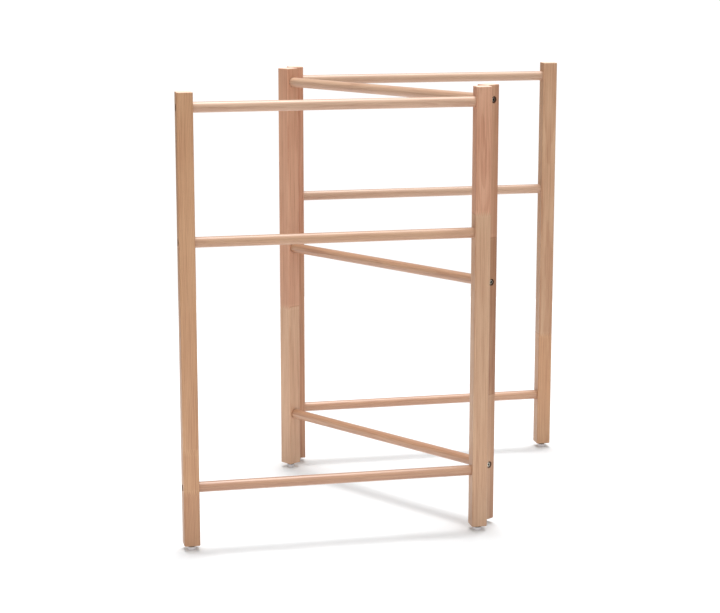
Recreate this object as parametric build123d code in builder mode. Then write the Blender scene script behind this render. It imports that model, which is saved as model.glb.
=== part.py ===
from build123d import *
import os

# A folding clothes rack of three frames, hinged in a zigzag. Each frame is two square
# posts joined by three round rails, and stands on two nylon glides.
#
# Each frame is modelled in its own frame plane: X along the frame, Y through it from
# its front to its back, Z up from the floor. Folded flat, the three lie one behind
# another with these planes in line. The front hinge line is at the right-hand end,
# the rear one at the left-hand end.
#
# Sizes are in millimetres and angles in degrees.

# Overall sizes
overall_height = 1000.0
panel_width = 685.0
front_opening = 58.0
rear_opening = 58.0

# Posts
post_width = 35.0
post_depth = 35.0
post_edge_radius = 3.0
post_end_radius = 2.0

# Rails, by the height of their centres
rail_diameter = 23.0
rail_end_chamfer = 1.0
top_rail_drop = 33.0
outer_mid_rail_height = 680.0
inner_mid_rail_height = 561.0
bottom_rail_height = 140.0

# Rail joints: a socket in the post's inner face, a bolt from its outer face and a
# threaded insert in the rail's end
socket_clearance = 0.8
socket_depth = 12.0
counterbore_diameter = 15.0
counterbore_depth = 7.5
bolt_diameter = 6.0
bolt_hole_clearance = 0.25
bolt_head_diameter = 10.0
bolt_head_height = 6.0
bolt_head_chamfer = 0.6
bolt_key_width = 5.0
bolt_key_depth = 3.0
bolt_reach = 34.0
bolt_end_room = 4.0
insert_diameter = 10.0
insert_length = 18.0

# Glides under the posts
glide_diameter = 18.0
glide_foot_height = 6.5
glide_foot_radius = 1.2
glide_neck_diameter = 15.0
glide_neck_height = 4.5
nail_diameter = 2.5
nail_length = 22.0
nail_head_diameter = 6.5
nail_head_height = 1.2
nail_recess_diameter = 7.5
nail_recess_depth = 2.6

# Butt hinges, let in flush between the posts' faces
hinge_height = 60.0
panel_gap = 3.0
hinge_offset = 3.5
leaf_thickness = 1.5
leaf_width = 24.0
leaf_room = 0.2
middle_knuckle_length = 24.0
knuckle_gap = 0.3
pin_diameter = 3.0
pin_clearance = 0.05
pin_head_diameter = 4.6
pin_head_height = 0.9

# Countersunk screws through the hinge leaves
screw_diameter = 3.0
screw_head_diameter = 6.0
screw_length = 16.0
screw_tip_length = 3.0
screw_tip_taper = 24.0
screw_inset = 11.0
screw_spacing = 20.0
screw_slot_width = 0.8
screw_slot_length = 3.4
screw_slot_depth = 0.7

# Worked out from the sizes above
glide_height = glide_foot_height + glide_neck_height
post_length = overall_height - glide_height
top_rail_height = overall_height - top_rail_drop
rail_radius = rail_diameter / 2
socket_radius = rail_radius + socket_clearance
rail_start = post_width - socket_depth
rail_length = panel_width - 2 * rail_start
bolt_radius = bolt_diameter / 2
bolt_length = rail_start - counterbore_depth + bolt_reach
panel_pitch = post_depth + panel_gap
knuckle_radius = panel_gap / 2 + leaf_thickness
leaf_start = knuckle_radius + knuckle_gap
mortise_width = leaf_width + leaf_room
pin_radius = pin_diameter / 2
screw_radius = screw_diameter / 2
screw_shank_length = screw_length - screw_tip_length

OUTER_RAILS = {
    "top": top_rail_height,
    "mid": outer_mid_rail_height,
    "bottom": bottom_rail_height,
}
INNER_RAILS = {
    "top": top_rail_height,
    "mid": inner_mid_rail_height,
    "bottom": bottom_rail_height,
}
# Hinges sit half-way between rails, clear of the rail bolts on either side.
HINGES = {
    "upper": (top_rail_height + outer_mid_rail_height) / 2,
    "lower": (inner_mid_rail_height + bottom_rail_height) / 2,
}


# Where the three frames stand

def axis_spot(end):
    """The hinge axis behind a frame, past its left or right end."""
    along = panel_width + hinge_offset if end == "right" else -hinge_offset
    return Pos(along, post_depth + panel_gap / 2, 0)


def frame_behind(place, end, angle):
    """The frame behind this one, turned about their shared hinge axis."""
    spot = axis_spot(end)
    return place * spot * Rot(0, 0, angle) * spot.inverse() * Pos(0, panel_pitch, 0)


def zigzag(front_place):
    """The places of the three frames, opened out behind the front one."""
    middle_place = frame_behind(front_place, "right", -front_opening)
    rear_place = frame_behind(middle_place, "left", rear_opening)
    return front_place, middle_place, rear_place


def footprint_centre(places):
    """The middle of the floor area that the frames' posts span."""
    corners = [
        (place * Pos(along, through, 0)).position
        for place in places
        for along in (0, panel_width)
        for through in (0, post_depth)
    ]
    xs = [corner.X for corner in corners]
    ys = [corner.Y for corner in corners]
    return (min(xs) + max(xs)) / 2, (min(ys) + max(ys)) / 2


centre_x, centre_y = footprint_centre(zigzag(Pos(0, 0, 0)))
front_place, middle_place, rear_place = zigzag(Pos(-centre_x, -centre_y, 0))
front = Plane(front_place)
middle = Plane(middle_place)
rear = Plane(rear_place)


# Working planes on a frame

def end_plane(panel, end):
    """On a post's outer face: Z points into the frame, X is through it and Y is up."""
    side = 1 if end == "left" else -1
    along = 0 if end == "left" else panel_width
    origin = panel.from_local_coords((along, post_depth / 2, 0))
    return Plane(origin=origin, x_dir=panel.y_dir * side, z_dir=panel.x_dir * side)


def hinge_directions(panel, end, face):
    """The directions from a hinge axis along the frame, and into its post."""
    inward = panel.x_dir if end == "left" else -panel.x_dir
    into_post = panel.y_dir if face == "front" else -panel.y_dir
    return inward, into_post


def hinge_origin(panel, end, face, height):
    """The middle of a hinge's axis, off the front or back face of a frame's post."""
    along = -hinge_offset if end == "left" else panel_width + hinge_offset
    through = -panel_gap / 2 if face == "front" else post_depth + panel_gap / 2
    return panel.from_local_coords((along, through, height))


def hinge_plan(panel, end, face, height):
    """Across a hinge axis: X runs along the frame and Y into its post."""
    inward, into_post = hinge_directions(panel, end, face)
    origin = hinge_origin(panel, end, face, height)
    return Plane(origin=origin, x_dir=inward, z_dir=inward.cross(into_post))


def screw_plane(panel, end, face, height):
    """On the post's face at a hinge: Z points into the post, X along the frame."""
    inward, into_post = hinge_directions(panel, end, face)
    origin = hinge_origin(panel, end, face, height) + into_post * (panel_gap / 2)
    return Plane(origin=origin, x_dir=inward, z_dir=into_post)


def screw_spots():
    """The three screws of a leaf, measured from the hinge axis at its mid-height."""
    return [(screw_inset, step * screw_spacing) for step in (-1, 0, 1)]


def post_centre(end):
    """A post's centre line in its frame's plane."""
    along = post_width / 2 if end == "left" else panel_width - post_width / 2
    return along, post_depth / 2


def save(builder, name):
    builder.part.label = name
    export_step(builder.part, f"parts/{name}.step")


# Posts and rails

def make_post(name, panel, end, rail_heights, hinge_face):
    """A post with rail sockets, bolt holes, a nail hole and any hinge mortises."""
    outer = end_plane(panel, end)
    spots = [(0, height) for height in rail_heights]
    with BuildPart() as post:
        with BuildSketch(panel.offset(glide_height)):
            with Locations(post_centre(end)):
                RectangleRounded(post_width, post_depth, post_edge_radius)
        extrude(amount=post_length)
        ends = post.faces().filter_by(Axis.Z)
        fillet(ends.edges(), post_end_radius)
        with BuildSketch(outer):
            with Locations(*spots):
                Circle(counterbore_diameter / 2)
        extrude(amount=counterbore_depth, mode=Mode.SUBTRACT)
        with BuildSketch(outer):
            with Locations(*spots):
                Circle(bolt_radius + bolt_hole_clearance)
        extrude(amount=post_width, mode=Mode.SUBTRACT)
        with BuildSketch(outer.offset(rail_start)):
            with Locations(*spots):
                Circle(socket_radius)
        extrude(amount=socket_depth, mode=Mode.SUBTRACT)
        with BuildSketch(panel):
            with Locations(post_centre(end)):
                Circle(nail_diameter / 2)
        extrude(amount=nail_recess_depth + nail_length, mode=Mode.SUBTRACT)
        for height in HINGES.values() if hinge_face else ():
            with BuildSketch(hinge_plan(panel, end, hinge_face, height)):
                Rectangle(mortise_width, knuckle_radius, align=(Align.MIN, Align.MIN))
            extrude(amount=hinge_height / 2 + leaf_room, both=True, mode=Mode.SUBTRACT)
            with BuildSketch(screw_plane(panel, end, hinge_face, height)):
                with Locations(*screw_spots()):
                    Circle(screw_radius)
            extrude(amount=screw_length, mode=Mode.SUBTRACT)
    save(post, name)


def make_rail(name, panel, height):
    """A round rail, bored at both ends for its insert and for the bolt's tip."""
    with BuildPart() as rail:
        with BuildSketch(end_plane(panel, "left").offset(rail_start)):
            with Locations((0, height)):
                Circle(rail_radius)
        extrude(amount=rail_length)
        chamfer(rail.edges().filter_by(GeomType.CIRCLE), rail_end_chamfer)
        for end in ("left", "right"):
            mouth = end_plane(panel, end).offset(rail_start)
            with BuildSketch(mouth):
                with Locations((0, height)):
                    Circle(insert_diameter / 2)
            extrude(amount=insert_length, mode=Mode.SUBTRACT)
            with BuildSketch(mouth):
                with Locations((0, height)):
                    Circle(bolt_radius + bolt_hole_clearance)
            extrude(amount=bolt_reach + bolt_end_room, mode=Mode.SUBTRACT)
    save(rail, name)


# Rail fixings

def make_bolts(name, panel, rail_heights):
    """Six socket-head bolts, their heads seated in the posts' counterbores."""
    spots = [(0, height) for height in rail_heights]
    with BuildPart() as bolts:
        for end in ("left", "right"):
            seat = end_plane(panel, end).offset(counterbore_depth)
            face = seat.offset(-bolt_head_height)
            with BuildSketch(face):
                with Locations(*spots):
                    Circle(bolt_head_diameter / 2)
            heads = extrude(amount=bolt_head_height)
            rims = heads.edges().filter_by(GeomType.CIRCLE)
            outer_rims = [rim for rim in rims if abs(face.to_local_coords(rim.center()).Z) < 0.01]
            chamfer(outer_rims, bolt_head_chamfer)
            with BuildSketch(face):
                with Locations(*spots):
                    RegularPolygon(bolt_key_width / 2, 6, major_radius=False)
            extrude(amount=bolt_key_depth, mode=Mode.SUBTRACT)
            with BuildSketch(seat):
                with Locations(*spots):
                    Circle(bolt_radius)
            extrude(amount=bolt_length)
    save(bolts, name)


def make_inserts(name, panel, rail_heights):
    """Six threaded inserts, flush with the rails' ends."""
    with BuildPart() as inserts:
        for end in ("left", "right"):
            with BuildSketch(end_plane(panel, end).offset(rail_start)):
                with Locations(*[(0, height) for height in rail_heights]):
                    Circle(insert_diameter / 2)
                    Circle(bolt_radius, mode=Mode.SUBTRACT)
            extrude(amount=insert_length)
    save(inserts, name)


# Glides

def make_glide(name, panel, end):
    """A nylon glide: a round foot, a narrower neck and a recess for its nail."""
    centre = post_centre(end)
    with BuildPart() as glide:
        with BuildSketch(panel):
            with Locations(centre):
                Circle(glide_diameter / 2)
        extrude(amount=glide_foot_height)
        fillet(glide.edges().filter_by(GeomType.CIRCLE), glide_foot_radius)
        with BuildSketch(panel.offset(glide_foot_height)):
            with Locations(centre):
                Circle(glide_neck_diameter / 2)
        extrude(amount=glide_neck_height)
        with BuildSketch(panel):
            with Locations(centre):
                Circle(nail_recess_diameter / 2)
        extrude(amount=nail_recess_depth, mode=Mode.SUBTRACT)
        with BuildSketch(panel):
            with Locations(centre):
                Circle(nail_diameter / 2)
        extrude(amount=glide_height, mode=Mode.SUBTRACT)
    save(glide, name)


def make_nails(name, panel):
    """The two nails that hold a frame's glides, heads up inside their recesses."""
    centres = [post_centre("left"), post_centre("right")]
    with BuildPart() as nails:
        with BuildSketch(panel.offset(nail_recess_depth - nail_head_height)):
            with Locations(*centres):
                Circle(nail_head_diameter / 2)
        extrude(amount=nail_head_height)
        with BuildSketch(panel.offset(nail_recess_depth)):
            with Locations(*centres):
                Circle(nail_diameter / 2)
        extrude(amount=nail_length)
    save(nails, name)


# Hinges

def knuckle_spans(holds_pin):
    """Centre and length of a leaf's knuckles along the axis, from mid-height."""
    if not holds_pin:
        return [(0, middle_knuckle_length)]
    inner = middle_knuckle_length / 2 + knuckle_gap
    length = hinge_height / 2 - inner
    centre = inner + length / 2
    return [(-centre, length), (centre, length)]


def make_leaf(name, panel, end, face, height, holds_pin):
    """A hinge leaf: a countersunk plate with one middle or two outer knuckles."""
    plan = hinge_plan(panel, end, face, height)
    plate_length = leaf_width - leaf_start
    with BuildPart() as leaf:
        with BuildSketch(plan):
            with Locations((leaf_start, panel_gap / 2)):
                Rectangle(plate_length, leaf_thickness, align=(Align.MIN, Align.MIN))
        extrude(amount=hinge_height / 2, both=True)
        for centre, length in knuckle_spans(holds_pin):
            with BuildSketch(plan.offset(centre)):
                Circle(knuckle_radius)
                with Locations((0, panel_gap / 2)):
                    Rectangle(leaf_start, leaf_thickness, align=(Align.MIN, Align.MIN))
                Circle(pin_radius + pin_clearance, mode=Mode.SUBTRACT)
            extrude(amount=length / 2, both=True)
        with BuildSketch(screw_plane(panel, end, face, height)):
            with Locations(*screw_spots()):
                Circle(screw_head_diameter / 2)
        extrude(amount=leaf_thickness, taper=45, mode=Mode.SUBTRACT)
    save(leaf, name)


def make_pin(name, panel, end, face, height):
    """A hinge pin with a small head at each end."""
    plan = hinge_plan(panel, end, face, height)
    with BuildPart() as pin:
        with BuildSketch(plan):
            Circle(pin_radius)
        extrude(amount=hinge_height / 2, both=True)
        for tip in (-1, 1):
            with BuildSketch(plan.offset(tip * hinge_height / 2)):
                Circle(pin_head_diameter / 2)
            extrude(amount=tip * pin_head_height)
    save(pin, name)


def make_hinge_screws(name, panel, end, face):
    """The countersunk screws that hold a post's two hinge leaves."""
    with BuildPart() as screws:
        for height in HINGES.values():
            leaf_face = screw_plane(panel, end, face, height)
            with BuildSketch(leaf_face):
                with Locations(*screw_spots()):
                    Circle(screw_head_diameter / 2)
            extrude(amount=leaf_thickness, taper=45)
            with BuildSketch(leaf_face):
                with Locations(*screw_spots()):
                    Circle(screw_radius)
            extrude(amount=screw_shank_length)
            with BuildSketch(leaf_face.offset(screw_shank_length)):
                with Locations(*screw_spots()):
                    Circle(screw_radius)
            extrude(amount=screw_tip_length, taper=screw_tip_taper)
            with BuildSketch(leaf_face):
                with Locations(*screw_spots()):
                    Rectangle(screw_slot_length, screw_slot_width)
                    Rectangle(screw_slot_width, screw_slot_length)
            extrude(amount=screw_slot_depth, mode=Mode.SUBTRACT)
    save(screws, name)


def make_hinges(line, pin_side, pin_seat, turning_side, turning_seat):
    """A hinge line's two hinges, between a frame that holds the pin and one that turns."""
    for level, height in HINGES.items():
        hinge = f"{level}_{line}_hinge"
        make_leaf(f"{hinge}_{pin_side}_leaf", *pin_seat, height, holds_pin=True)
        make_leaf(f"{hinge}_{turning_side}_leaf", *turning_seat, height, holds_pin=False)
        make_pin(f"{hinge}_pin", *pin_seat, height)
    make_hinge_screws(f"{line}_hinge_{pin_side}_screws", *pin_seat)
    make_hinge_screws(f"{line}_hinge_{turning_side}_screws", *turning_seat)


def make_panel(name, panel, rails, hinge_faces):
    """One frame with its fixings. hinge_faces gives the hinged face at each end."""
    for end in ("left", "right"):
        make_post(f"{name}_{end}_post", panel, end, rails.values(), hinge_faces.get(end))
        make_glide(f"{name}_{end}_glide", panel, end)
    for level, height in rails.items():
        make_rail(f"{name}_{level}_rail", panel, height)
    make_bolts(f"{name}_rail_bolts", panel, rails.values())
    make_inserts(f"{name}_rail_inserts", panel, rails.values())
    make_nails(f"{name}_glide_nails", panel)


os.makedirs("parts", exist_ok=True)
make_panel("front", front, OUTER_RAILS, {"right": "back"})
make_panel("middle", middle, INNER_RAILS, {"right": "front", "left": "back"})
make_panel("rear", rear, OUTER_RAILS, {"left": "front"})
make_hinges("right", "front", (front, "right", "back"), "middle", (middle, "right", "front"))
make_hinges("left", "rear", (rear, "left", "front"), "middle", (middle, "left", "back"))
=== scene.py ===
import math

import bmesh
import bpy
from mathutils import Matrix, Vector


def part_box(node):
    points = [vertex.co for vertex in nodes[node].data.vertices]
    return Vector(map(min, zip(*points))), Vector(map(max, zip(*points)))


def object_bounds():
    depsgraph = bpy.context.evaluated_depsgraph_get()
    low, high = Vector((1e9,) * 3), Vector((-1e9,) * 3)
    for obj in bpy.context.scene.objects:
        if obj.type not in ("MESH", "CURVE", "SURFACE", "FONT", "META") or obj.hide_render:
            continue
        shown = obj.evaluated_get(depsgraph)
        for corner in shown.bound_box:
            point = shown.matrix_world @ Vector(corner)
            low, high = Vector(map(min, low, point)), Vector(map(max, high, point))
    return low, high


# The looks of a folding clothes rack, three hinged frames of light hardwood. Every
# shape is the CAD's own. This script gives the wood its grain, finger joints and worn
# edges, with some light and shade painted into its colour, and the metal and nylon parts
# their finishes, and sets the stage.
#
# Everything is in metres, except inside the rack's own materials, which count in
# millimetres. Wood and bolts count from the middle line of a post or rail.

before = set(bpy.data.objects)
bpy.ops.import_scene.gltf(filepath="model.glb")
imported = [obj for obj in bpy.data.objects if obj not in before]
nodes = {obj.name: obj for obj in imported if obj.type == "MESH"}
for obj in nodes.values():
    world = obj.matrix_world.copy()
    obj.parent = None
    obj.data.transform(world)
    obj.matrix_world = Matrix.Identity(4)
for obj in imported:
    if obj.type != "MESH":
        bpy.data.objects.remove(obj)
cad_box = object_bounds()

FRAMES = ("front", "middle", "rear")
RAILS = ("top", "mid", "bottom")


# ---------------------------------------------------------------- shader building


def linear(red, green, blue):
    """A colour as a screen shows it, 0 to 255, as the linear colour that nodes take."""
    return tuple(
        (c / 255 / 12.92) if c <= 10 else ((c / 255 + 0.055) / 1.055) ** 2.4
        for c in (red, green, blue)
    )


class Graph:
    """A node tree, with short calls for the nodes used here."""

    def __init__(self, owner):
        owner.use_nodes = True
        self.tree = owner.node_tree
        self.tree.nodes.clear()

    def feed(self, socket, value):
        if isinstance(value, bpy.types.NodeSocket):
            self.tree.links.new(value, socket)
        elif value is not None:
            socket.default_value = value

    def math(self, operation, *values):
        node = self.tree.nodes.new("ShaderNodeMath")
        node.operation = operation
        for socket, value in zip(node.inputs, values):
            self.feed(socket, value)
        return node.outputs[0]

    def add(self, a, b):
        return self.math("ADD", a, b)

    def times(self, a, b):
        return self.math("MULTIPLY", a, b)

    def join(self, x, y, z):
        node = self.tree.nodes.new("ShaderNodeCombineXYZ")
        for socket, value in zip(node.inputs, (x, y, z)):
            self.feed(socket, value)
        return node.outputs[0]

    def split(self, vector):
        node = self.tree.nodes.new("ShaderNodeSeparateXYZ")
        self.feed(node.inputs[0], vector)
        return node.outputs

    def coordinates(self, kind="Object"):
        return self.tree.nodes.new("ShaderNodeTexCoord").outputs[kind]

    def placed(self, origin, turn, unit):
        """Object coordinates in a member's own frame, in the given unit."""
        node = self.tree.nodes.new("ShaderNodeMapping")
        node.vector_type = "TEXTURE"
        self.feed(node.inputs["Vector"], self.coordinates())
        node.inputs["Location"].default_value = origin
        node.inputs["Rotation"].default_value = (0, 0, turn)
        node.inputs["Scale"].default_value = (unit, unit, unit)
        return node.outputs[0]

    def noise(self, vector, size, seed=0.0, detail=2.0, rough=0.5):
        """Noise of about the given size along each axis, 0 to 1 with its middle at 0.5."""
        sized = self.tree.nodes.new("ShaderNodeVectorMath")
        sized.operation = "DIVIDE"
        self.feed(sized.inputs[0], vector)
        sized.inputs[1].default_value = size
        node = self.tree.nodes.new("ShaderNodeTexNoise")
        node.noise_dimensions = "4D"
        self.feed(node.inputs["Vector"], sized.outputs[0])
        self.feed(node.inputs["W"], seed)
        node.inputs["Scale"].default_value = 1.0
        node.inputs["Detail"].default_value = detail
        node.inputs["Roughness"].default_value = rough
        return node.outputs["Fac"]

    def smooth(self, value, start, end):
        """0 at start and 1 at end, with a soft step between. Start may be the higher."""
        node = self.tree.nodes.new("ShaderNodeMapRange")
        node.interpolation_type = "SMOOTHSTEP"
        self.feed(node.inputs["Value"], value)
        low, high = min(start, end), max(start, end)
        node.inputs["From Min"].default_value = low
        node.inputs["From Max"].default_value = high
        node.inputs["To Min"].default_value = 0.0 if end > start else 1.0
        node.inputs["To Max"].default_value = 1.0 if end > start else 0.0
        return node.outputs[0]

    def about_one(self, value, depth):
        """1 where value is 0.5, and depth more or less at its ends."""
        return self.math("MULTIPLY_ADD", value, 2 * depth, 1 - depth)

    def mix(self, share, a, b, blend="MIX"):
        node = self.tree.nodes.new("ShaderNodeMix")
        node.data_type, node.blend_type = "RGBA", blend
        self.feed(node.inputs["Factor"], share)
        self.feed(node.inputs["A"], (*a, 1) if isinstance(a, tuple) else a)
        self.feed(node.inputs["B"], (*b, 1) if isinstance(b, tuple) else b)
        return node.outputs["Result"]

    def scaled(self, colour, by):
        node = self.tree.nodes.new("ShaderNodeVectorMath")
        node.operation = "SCALE"
        self.feed(node.inputs[0], colour)
        self.feed(node.inputs["Scale"], by)
        return node.outputs[0]

    def from_axis(self, through, up, heights):
        """The distance from the nearest of a frame's rail axes, at the given heights."""
        nearest = None
        for height in heights:
            rise = self.add(up, -height)
            squared = self.add(self.times(rise, rise), self.times(through, through))
            nearest = (
                squared
                if nearest is None
                else self.math("MINIMUM", nearest, squared)
            )
        return self.math("SQRT", nearest)


class Finish(Graph):
    """A new material, made of one Principled shader and what feeds it."""

    def __init__(self, name):
        self.material = bpy.data.materials.new(name)
        super().__init__(self.material)
        output = self.tree.nodes.new("ShaderNodeOutputMaterial")
        self.shader = self.tree.nodes.new("ShaderNodeBsdfPrincipled")
        self.tree.links.new(self.shader.outputs["BSDF"], output.inputs["Surface"])

    def bump(self, height, depth, strength):
        node = self.tree.nodes.new("ShaderNodeBump")
        node.inputs["Strength"].default_value = strength
        node.inputs["Distance"].default_value = depth
        self.feed(node.inputs["Height"], height)
        self.feed(self.shader.inputs["Normal"], node.outputs[0])

    def done(self, **sockets):
        """Sets the shader's sockets, named in lower case with _ for a space."""
        for name, value in sockets.items():
            title = name.replace("_", " ").title().replace("Ior", "IOR")
            if isinstance(value, tuple):
                value = (*value, 1)
            self.feed(self.shader.inputs[title], value)
        return self.material


def paint(node, material):
    """Gives a CAD node's material slots a finish."""
    for slot in nodes[node].material_slots:
        slot.material = material


# --------------------------------------------------------------------------- wood

MILLIMETRE = 0.001

# Finger joints: the fingers' spacing and length, and how far from the joint the glue
# line ends and where it is at its darkest
FINGER_PITCH = 4.6
FINGER_LENGTH = 12.0
GLUE_FADES, GLUE_FULL = 2.2, 0.6

# Growth rings: how wide they are, how far the pith lies from the middle of the board,
# how it turns from board to board and leans along one, and how far the rings stray
RING_WIDTH = 3.1
PITH_DISTANCE = 46.0
SEED_PER_BOARD, TURN_PER_BOARD = 7.3, 2.4
LEAN = 0.012
WAVY_GRAIN, STRAIGHT_GRAIN = 20.0, 8.0
FINE_STRAY = 1.6

# The size of each mark across, through and along the grain
DRIFT, FINE_DRIFT = (90, 90, 260), (9, 9, 70)
CLOUD, STREAK = (30, 30, 170), (2.6, 2.6, 150)
FIBRE, PORE = (0.7, 0.7, 22), (0.42, 0.42, 3.4)
WEAR = (14, 14, 60)

# What each mark adds to the stain, and the most that they make together
STREAK_STAIN, LATE_WOOD_STAIN, CLOUD_STAIN = 0.75, 0.42, 0.3
GLUE_STAIN, FINGER_STAIN = 0.6, -0.2
MOST_STAIN = 1.2

# How much each mark lightens or darkens the wood. The wear on edges and rail tops is partly
# painted highlight. The light on the posts' ends and tops is painted, and so is the shade
# at their feet and on the counterbores' walls.
STREAK_SHADE, FIBRE_SHADE, PORE_SHADE = 0.09, 0.07, -0.17
PLAIN_SHADE, WEAR_AND_HIGHLIGHT, END_PAINTED_LIGHT = 1.09, 0.03, 0.16
TOP_PAINTED_LIGHT, FEET_PAINTED_SHADE, BORE_PAINTED_SHADE = 0.12, -0.15, 0.34
# Painted light: posts lighter towards their tops, between these heights
TOP_LIGHT_FROM, TOP_LIGHT_TO = 250.0, 1000.0
# Painted shade: posts darker towards their feet, between these heights
FEET_SHADE_TO, FEET_SHADE_FROM = 170.0, 10.0

# Painted shade on the counterbores' walls, which lie between these distances from their
# axes
BORE_OUTSIDE, BORE_INSIDE = 8.1, 7.4

RELIEF = 0.00005


def wood(
    name,
    origin,
    turn,
    seed,
    tints,
    joints=(),
    upright=True,
    half=17.5,
    heart_and_shade_bands=(),
    bores=(),
    wander=WAVY_GRAIN,
):
    """Light, fine-grained hardwood under a satin lacquer.

    The member is made of boards finger-jointed end to end: joints are the heights of
    the joints, and tints the boards' colours from the bottom up. Each board has its
    own pith, grain and streaks. half is half the member's thickness. The bands given as
    heart, each (through from, through to, depth), darken and redden the wood: redder
    heartwood on a post, painted shade along the underside of a rail. bores are the
    heights of the bolt holes, whose counterbores' walls get painted shade, and wander
    is how far the rings stray along the grain.
    """
    g = Finish(name)
    x, y, z = g.split(g.placed(origin, turn, MILLIMETRE))
    across, through, along = (x, y, z) if upright else (y, z, x)

    # Fingers show as a zigzag on the faces across the joint and as a line on the others
    zigzag = g.math("PINGPONG", g.add(across, seed), FINGER_PITCH / 2)
    reach = g.times(zigzag, 2 * FINGER_LENGTH / FINGER_PITCH)
    fingered = g.add(along, reach)
    board, tint, glue, fingers = seed, tints[0], None, None
    for height, colour in zip(joints, tints[1:]):
        above = g.math("GREATER_THAN", fingered, height)
        board = g.math("MULTIPLY_ADD", above, SEED_PER_BOARD, board)
        tint = g.mix(above, tint, colour)
        off = g.math("ABSOLUTE", g.add(fingered, -height))
        line = g.smooth(off, GLUE_FADES, GLUE_FULL)
        glue = line if glue is None else g.math("MAXIMUM", glue, line)
        near = g.math("ABSOLUTE", g.add(along, FINGER_LENGTH / 2 - height))
        comb = g.smooth(near, FINGER_LENGTH * 0.75, FINGER_LENGTH * 0.45)
        fingers = comb if fingers is None else g.math("MAXIMUM", fingers, comb)

    # Growth rings round a pith outside the board, leaning along it and wavering
    spot = g.join(across, through, along)
    angle = g.times(board, TURN_PER_BOARD)
    drift = g.noise(spot, DRIFT, board)
    fine_drift = g.noise(spot, FINE_DRIFT, board)
    pith_across = g.math("MULTIPLY_ADD", g.math("COSINE", angle), PITH_DISTANCE, across)
    pith_through = g.math("MULTIPLY_ADD", g.math("SINE", angle), PITH_DISTANCE, through)
    leaned = g.math("MULTIPLY_ADD", along, LEAN, pith_across)
    radius = g.math(
        "SQRT",
        g.add(g.times(leaned, leaned), g.times(pith_through, pith_through)),
    )
    radius = g.math("MULTIPLY_ADD", drift, wander, radius)
    radius = g.math("MULTIPLY_ADD", fine_drift, FINE_STRAY, radius)
    ring = g.math("FRACT", g.math("DIVIDE", radius, RING_WIDTH))
    late = g.times(g.smooth(ring, 0.3, 0.9), g.smooth(ring, 1.0, 0.92))

    # Streaks, fibres and pores, longest along the grain
    cloud = g.noise(spot, CLOUD, board, 3.0)
    streak = g.noise(spot, STREAK, board, 3.0, 0.65)
    fibre = g.noise(spot, FIBRE, board, 2.0, 0.6)
    pore = g.smooth(g.noise(spot, PORE, board, 1.0), 0.63, 0.73)

    # Where hands and laundry wear it, and where the light catches: the long edges of a
    # post, the top of a rail. The lightening there is wear and painted highlight together;
    # the lower roughness is wear.
    if upright:
        corner = g.math(
            "MINIMUM", g.math("ABSOLUTE", across), g.math("ABSOLUTE", through)
        )
        worn_and_lit = g.smooth(corner, half - 3.2, half - 0.6)
    else:
        worn_and_lit = g.smooth(through, half * 0.2, half)
    patchy = g.smooth(g.noise(spot, WEAR, seed, 3.0), 0.3, 0.7)
    worn_and_lit = g.times(worn_and_lit, g.math("MULTIPLY_ADD", patchy, 0.6, 0.4))

    # The posts' end faces, which get painted light and are a little rougher
    if upright:
        normal = g.split(g.coordinates("Normal"))
        end_grain_lit = g.smooth(g.math("ABSOLUTE", normal[2]), 0.75, 0.95)

    # Darker grain is redder: every dark mark adds to one stain
    stain = g.times(g.smooth(streak, 0.54, 0.26), STREAK_STAIN)
    stain = g.math("MULTIPLY_ADD", late, LATE_WOOD_STAIN, stain)
    stain = g.math("MULTIPLY_ADD", g.smooth(cloud, 0.36, 0.68), CLOUD_STAIN, stain)
    # On a post a band is redder heartwood; on a rail it is painted shade along the
    # underside
    for start, end, depth in heart_and_shade_bands:
        edge = g.math("MULTIPLY_ADD", fine_drift, 3.0, through)
        band = g.times(g.smooth(edge, start, start + 3), g.smooth(edge, end + 3, end))
        stain = g.math("MULTIPLY_ADD", band, depth, stain)
    if glue is not None:
        stain = g.math("MULTIPLY_ADD", glue, GLUE_STAIN, stain)
        stain = g.math("MULTIPLY_ADD", fingers, FINGER_STAIN, stain)
    stained = g.mix(1.0, tint, STAIN, "MULTIPLY")
    colour = g.mix(g.math("MINIMUM", stain, MOST_STAIN), tint, stained)
    # Painted light on the posts' end faces, where the overhead lamp lights their tops
    if upright:
        colour = g.mix(g.times(end_grain_lit, 0.6), colour, LIT_END_GRAIN)
    # Painted shade on the counterbores' walls, in the hollow round each bolt head
    if bores:
        shaded_wall = g.smooth(g.from_axis(through, along, bores), BORE_OUTSIDE, BORE_INSIDE)
        colour = g.mix(shaded_wall, colour, g.scaled(stained, BORE_PAINTED_SHADE))

    shade = g.about_one(streak, STREAK_SHADE)
    shade = g.times(shade, g.about_one(fibre, FIBRE_SHADE))
    shade = g.times(shade, g.math("MULTIPLY_ADD", pore, PORE_SHADE, 1.0))
    # Painted highlight together with wear: lighter edges of posts and tops of rails
    shade = g.times(shade, g.math("MULTIPLY_ADD", worn_and_lit, WEAR_AND_HIGHLIGHT, PLAIN_SHADE))
    if upright:
        # Painted light: the post lighter towards its top
        painted_top_light = g.smooth(along, TOP_LIGHT_FROM, TOP_LIGHT_TO)
        # Painted shade: the post darker towards its foot
        painted_feet_shade = g.smooth(along, FEET_SHADE_TO, FEET_SHADE_FROM)
        for share, change in (
            (end_grain_lit, END_PAINTED_LIGHT),
            (painted_top_light, TOP_PAINTED_LIGHT),
            (painted_feet_shade, FEET_PAINTED_SHADE),
        ):
            shade = g.times(shade, g.math("MULTIPLY_ADD", share, change, 1.0))

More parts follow.
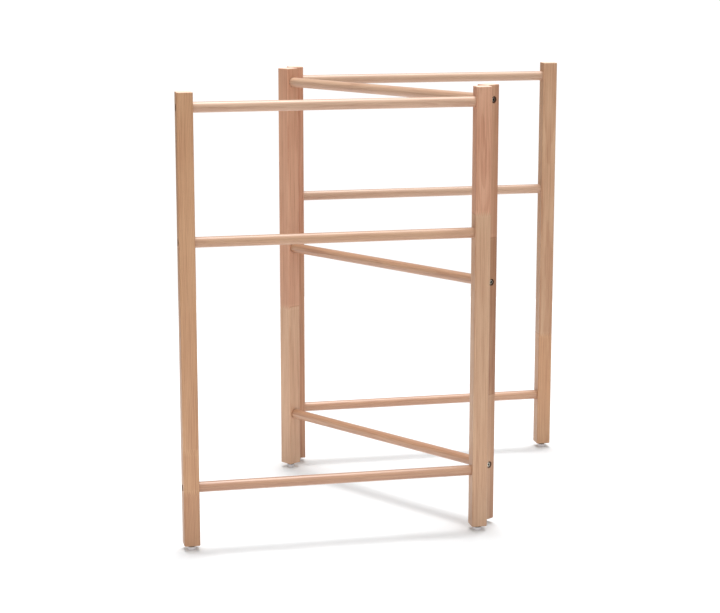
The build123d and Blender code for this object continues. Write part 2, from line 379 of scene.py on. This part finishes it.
    relief = g.add(g.times(fibre, 0.6), g.times(pore, -0.8))
    relief = g.math("MULTIPLY_ADD", late, -0.25, relief)
    g.bump(relief, RELIEF, 0.8)
    rough = g.math("MULTIPLY_ADD", fibre, 0.12, 0.42)
    rough = g.math("MULTIPLY_ADD", worn_and_lit, -0.05, rough)
    if upright:
        rough = g.math("MULTIPLY_ADD", end_grain_lit, 0.06, rough)
    return g.done(
        base_color=g.scaled(colour, shade),
        roughness=rough,
        coat_weight=0.2 if upright else 1.0,
        coat_roughness=0.48,
        coat_ior=1.5 if upright else 1.75,
    )


def middle(node):
    low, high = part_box(node)
    return (low + high) / 2


# What the darkest, reddest grain does to a board's colour
STAIN = (0.76, 0.62, 0.56)

# The posts' end faces, paler: painted light, where the overhead lamp lights their tops
LIT_END_GRAIN = linear(240, 225, 210)

# Boards' colours, as seen in plain daylight
TAN = linear(203, 165, 133)
PALE = linear(212, 173, 141)
ROSY = linear(208, 159, 129)
BROWN = linear(178, 133, 99)
FAWN = linear(198, 159, 126)
WARM = linear(201, 157, 119)
HONEY = linear(194, 148, 112)
AMBER = linear(184, 138, 103)
DULL = linear(204, 159, 127)

# Each post's joints from the floor up, in millimetres, and its boards' colours
POSTS = {
    "front_left_post": ((137, 229), (HONEY, WARM, WARM)),
    "front_right_post": ((729,), (TAN, ROSY)),
    "middle_left_post": ((418,), (PALE, ROSY)),
    "middle_right_post": ((311, 669), (FAWN, BROWN, DULL)),
    "rear_left_post": ((560,), (DULL, ROSY)),
    "rear_right_post": ((307,), (WARM, FAWN)),
}

# Bands of redder heartwood, as wood() takes them
HEARTS = {"middle_right_post": ((4.0, 20.0, 0.45), (13.0, 20.0, 0.4))}

# The rails' colours, top, middle and bottom, in the front, middle and rear frame
RAIL_TINTS = (PALE, WARM, AMBER, PALE, HONEY, HONEY, TAN, TAN, HONEY)
# A darker, redder band along the lower half of every rail: painted shade on its underside
RAIL_UNDERSIDE_SHADE = (-14.0, -2.0, 0.35)
SEED_PER_MEMBER = 31.7


def rail_heights(name):
    return [middle(f"{name}_{rail}_rail").z / MILLIMETRE for rail in RAILS]


turns = {}
for name in FRAMES:
    run = middle(f"{name}_right_post") - middle(f"{name}_left_post")
    turns[name] = math.atan2(run.y, run.x)

seed = 1.0
for node, (joints, tints) in POSTS.items():
    spot = middle(node)
    turn = turns[node.split("_")[0]]
    made = wood(
        f"wood_{node}",
        (spot.x, spot.y, 0),
        turn,
        seed,
        tints,
        joints,
        heart_and_shade_bands=HEARTS.get(node, ()),
        bores=rail_heights(node.split("_")[0]),
        wander=WAVY_GRAIN if node.startswith("front") else STRAIGHT_GRAIN,
    )
    paint(node, made)
    seed += SEED_PER_MEMBER

tint = iter(RAIL_TINTS)
for name in FRAMES:
    for rail in RAILS:
        node = f"{name}_{rail}_rail"
        low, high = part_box(node)
        half = (high.z - low.z) / 2 / MILLIMETRE
        made = wood(
            f"wood_{node}",
            middle(node),
            turns[name],
            seed,
            (next(tint),),
            upright=False,
            half=half,
            heart_and_shade_bands=(RAIL_UNDERSIDE_SHADE,),
        )
        paint(node, made)
        seed += SEED_PER_MEMBER


# ---------------------------------------------------------------- metal and nylon


def metal(name, colour, roughness, tarnish, brushed, seed):
    """Plated steel or brass: fine lines, dull patches and a little tarnish."""
    g = Finish(name)
    spot = g.placed((0, 0, 0), 0, MILLIMETRE)
    lines = g.noise(spot, brushed, seed, 2.0, 0.6)
    patch = g.noise(spot, (5, 5, 5), seed, 4.0, 0.6)
    dull = g.smooth(patch, 0.42, 0.68)
    shade = g.mix(dull, colour, tarnish)
    shade = g.scaled(shade, g.about_one(lines, 0.12))
    rough = g.math("MULTIPLY_ADD", dull, 0.18, roughness)
    rough = g.math("MULTIPLY_ADD", lines, 0.12, rough)
    g.bump(g.add(lines, g.times(patch, 0.5)), 0.00004, 0.7)
    return g.done(base_color=shade, metallic=1.0, roughness=rough)


# A bolt's head: its turned lines, in radians a millimetre, and how far its socket
# reaches from its axis
TURNED_LINES = 14.0
SOCKET_OUTSIDE, SOCKET_INSIDE = 3.3, 2.7


def bolt_metal(name, frame_name, seed):
    """Zinc-plated socket bolts: bright turned heads, with painted shade in the sockets."""
    g = Finish(name)
    spot = middle(f"{frame_name}_left_post")
    local = g.placed((spot.x, spot.y, 0), turns[frame_name], MILLIMETRE)
    _, through, up = g.split(local)
    out = g.from_axis(through, up, rail_heights(frame_name))
    turned = g.math("SINE", g.times(out, TURNED_LINES))
    patch = g.noise(local, (3, 3, 3), seed, 4.0, 0.6)
    dull = g.smooth(patch, 0.42, 0.68)
    shade = g.mix(dull, HEAD, TARNISHED_HEAD)
    shade = g.scaled(shade, g.about_one(g.math("MULTIPLY_ADD", turned, 0.5, 0.5), 0.06))
    # Painted shade in the hex socket, the dark recess in the head
    socket = g.smooth(out, SOCKET_OUTSIDE, SOCKET_INSIDE)
    shade = g.mix(socket, shade, SOCKET_PAINTED_SHADE)
    rough = g.math("MULTIPLY_ADD", dull, 0.16, 0.24)
    rough = g.math("MULTIPLY_ADD", socket, 0.35, rough)
    g.bump(g.math("MULTIPLY_ADD", patch, 0.6, turned), 0.00003, 0.5)
    metallic = g.math("MULTIPLY_ADD", socket, -0.8, 1.0)
    return g.done(base_color=shade, metallic=metallic, roughness=rough)


def nylon(name, seed, neck):
    """Off-white moulded nylon, dusty towards the floor, olive from neck height up."""
    g = Finish(name)
    spot = g.placed((0, 0, 0), 0, MILLIMETRE)
    height = g.split(spot)[2]
    mould = g.noise(spot, (1.1, 1.1, 1.1), seed, 3.0)
    scuff = g.smooth(g.noise(spot, (2.5, 2.5, 0.6), seed + 3, 4.0), 0.52, 0.68)
    low = g.smooth(height, 2.2, 0.2)
    dirt = g.times(low, g.math("MULTIPLY_ADD", scuff, 0.6, 0.25))
    colour = g.mix(dirt, CLEAN, DUSTY)
    colour = g.mix(g.smooth(height, neck - 0.4, neck + 0.4), colour, OLIVE)
    colour = g.scaled(colour, g.about_one(mould, 0.05))
    rough = g.math("MULTIPLY_ADD", scuff, 0.2, 0.36)
    g.bump(g.add(mould, g.times(scuff, -0.6)), 0.00005, 0.6)
    return g.done(base_color=colour, roughness=rough)


# The metals, clean and tarnished, and the painted shade in the bolts' sockets
BRASS, TARNISHED_BRASS = (0.62, 0.45, 0.22), (0.4, 0.28, 0.14)
STEEL, TARNISHED_STEEL = (0.42, 0.41, 0.38), (0.25, 0.22, 0.2)
LEAF, TARNISHED_LEAF = (0.58, 0.58, 0.57), (0.38, 0.37, 0.35)
PIN, TARNISHED_PIN = (0.5, 0.5, 0.48), (0.3, 0.29, 0.27)
SCREW, TARNISHED_SCREW = (0.55, 0.55, 0.53), (0.33, 0.32, 0.3)
HEAD, TARNISHED_HEAD = (0.80, 0.74, 0.64), (0.56, 0.48, 0.38)
SOCKET_PAINTED_SHADE = (0.03, 0.025, 0.02)
OLIVE = linear(92, 86, 62)
CLEAN, DUSTY = linear(232, 229, 232), linear(150, 143, 138)

# Where a glide narrows to its olive neck, in millimetres above the floor
FOOT_HEIGHT = 6.5

for seed, name in enumerate(FRAMES):
    paint(f"{name}_rail_bolts", bolt_metal(f"bolt_zinc_{name}", name, seed))
finishes = {
    "rail_inserts": metal("insert_brass", BRASS, 0.3, TARNISHED_BRASS, (3, 3, 3), 5),
    "glide_nails": metal("nail_steel", STEEL, 0.34, TARNISHED_STEEL, (1, 1, 6), 7),
    "leaf": metal("hinge_zinc", LEAF, 0.3, TARNISHED_LEAF, (0.3, 0.3, 14), 9),
    "pin": metal("pin_zinc", PIN, 0.26, TARNISHED_PIN, (2, 2, 0.3), 11),
    "screws": metal("screw_zinc", SCREW, 0.3, TARNISHED_SCREW, (1, 1, 0.4), 13),
    "glide": nylon("glide_nylon", 15, FOOT_HEIGHT),
}
for node in nodes:
    for ending, made in finishes.items():
        if node.endswith("_" + ending):
            paint(node, made)


# -------------------------------------------------------------------------- stage

FLOOR_RADIUS = 2.5
FLOOR_RINGS = 6
FLOOR_SIDES = 96
FLOOR_COLOURS = (0.866, 0.884, 0.896), (0.881, 0.899, 0.911)


def floor():
    """A plain round studio floor, of rings of faces."""
    mesh = bmesh.new()
    rings = []
    for i in range(1, FLOOR_RINGS + 1):
        reach = FLOOR_RADIUS * i / FLOOR_RINGS
        angles = (2 * math.pi * k / FLOOR_SIDES for k in range(FLOOR_SIDES))
        ring = [
            mesh.verts.new((reach * math.cos(a), reach * math.sin(a), 0))
            for a in angles
        ]
        rings.append(ring)
    mesh.faces.new(rings[0])
    for inner, outer in zip(rings, rings[1:]):
        for k in range(FLOOR_SIDES):
            n = (k + 1) % FLOOR_SIDES
            mesh.faces.new((inner[k], outer[k], outer[n], inner[n]))
    data = bpy.data.meshes.new("floor")
    mesh.to_mesh(data)
    mesh.free()
    made = bpy.data.objects.new("floor", data)
    bpy.context.scene.collection.objects.link(made)
    g = Finish("studio_floor")
    grain = g.noise(g.coordinates(), (0.4, 0.4, 0.4), 21, 3.0)
    colour = g.scaled(g.mix(grain, *FLOOR_COLOURS), g.about_one(grain, 0.004))
    data.materials.append(
        g.done(base_color=colour, roughness=0.9, specular_ior_level=0.1)
    )


floor()


def sun(name, towards, strength, angle):
    """A soft lamp of the given angular size, shining from the direction towards."""
    lamp = bpy.data.lights.new(name, "SUN")
    lamp.energy, lamp.angle = strength, math.radians(angle)
    made = bpy.data.objects.new(name, lamp)
    made.rotation_euler = Vector(towards).to_track_quat("Z", "Y").to_euler()
    bpy.context.scene.collection.objects.link(made)


def studio():
    """A dim room, lighter in front and to the left, behind a plain white backdrop."""
    world = bpy.data.worlds.new("studio")
    bpy.context.scene.world = world
    g = Graph(world)
    tree = g.tree
    x, y, z = g.split(g.coordinates("Generated"))
    above = g.smooth(z, -0.12, 0.02)
    towards_softbox = g.add(g.times(y, -SOFTBOX_Y), g.times(z, SOFTBOX_Z))
    softbox = g.smooth(towards_softbox, 0.5, 0.95)
    level = g.smooth(g.math("ABSOLUTE", z), 0.85, 0.25)
    front = g.times(g.smooth(y, 0.1, -0.8), level)
    left = g.times(g.smooth(x, 0.1, -0.8), level)
    strength = g.math("MULTIPLY_ADD", softbox, SOFTBOX, AROUND)
    strength = g.math("MULTIPLY_ADD", front, FRONT, strength)
    strength = g.math("MULTIPLY_ADD", left, LEFT, strength)
    strength = g.times(
        strength, g.math("MULTIPLY_ADD", above, 1 - BELOW_HORIZON, BELOW_HORIZON)
    )
    room = tree.nodes.new("ShaderNodeBackground")
    g.feed(room.inputs["Strength"], strength)
    room.inputs["Color"].default_value = (1, 1, 1, 1)
    backdrop = tree.nodes.new("ShaderNodeBackground")
    backdrop.inputs["Color"].default_value = (1, 1, 1, 1)
    backdrop.inputs["Strength"].default_value = BACKDROP
    seen = tree.nodes.new("ShaderNodeLightPath").outputs["Is Camera Ray"]
    either = tree.nodes.new("ShaderNodeMixShader")
    g.feed(either.inputs[0], seen)
    g.feed(either.inputs[1], room.outputs[0])
    g.feed(either.inputs[2], backdrop.outputs[0])
    output = tree.nodes.new("ShaderNodeOutputWorld")
    g.feed(output.inputs["Surface"], either.outputs[0])


# The overhead lamp's direction, strength and angular size in degrees
OVERHEAD = (0.05, 0.17, 0.984)
OVERHEAD_STRENGTH = 2.75
OVERHEAD_SIZE = 26

# How bright the room is all round, and how much more in front, to the left and at the
# big softbox
AROUND = 0.26
FRONT = 0.15
LEFT = 0.2
SOFTBOX = 0.72
SOFTBOX_Y, SOFTBOX_Z = 0.643, 0.766
BELOW_HORIZON = 0.3
BACKDROP = 1.05

sun("overhead", OVERHEAD, OVERHEAD_STRENGTH, OVERHEAD_SIZE)
studio()
bpy.context.scene.view_settings.view_transform = "Standard"

# The camera stands in front, a little to the left and above, with a long lens
CAMERA_AZIMUTH = -12.481
CAMERA_ELEVATION = 11.315
CAMERA_DISTANCE = 4.554
CAMERA_LENS = 96.705
AIM_FROM_MIDDLE = Vector((-0.0544, 0.0, -0.0405))

low, high = cad_box
aim = (low + high) / 2 + AIM_FROM_MIDDLE
azimuth, elevation = math.radians(CAMERA_AZIMUTH), math.radians(CAMERA_ELEVATION)
back = Vector(
    (
        math.sin(azimuth) * math.cos(elevation),
        -math.cos(azimuth) * math.cos(elevation),
        math.sin(elevation),
    )
)
camera = bpy.data.objects.new("camera", bpy.data.cameras.new("camera"))
camera.data.lens = CAMERA_LENS
camera.data.clip_end = 200
camera.location = aim + back * CAMERA_DISTANCE
camera.rotation_euler = (-back).to_track_quat("-Z", "Y").to_euler()
bpy.context.scene.collection.objects.link(camera)
bpy.context.scene.camera = camera
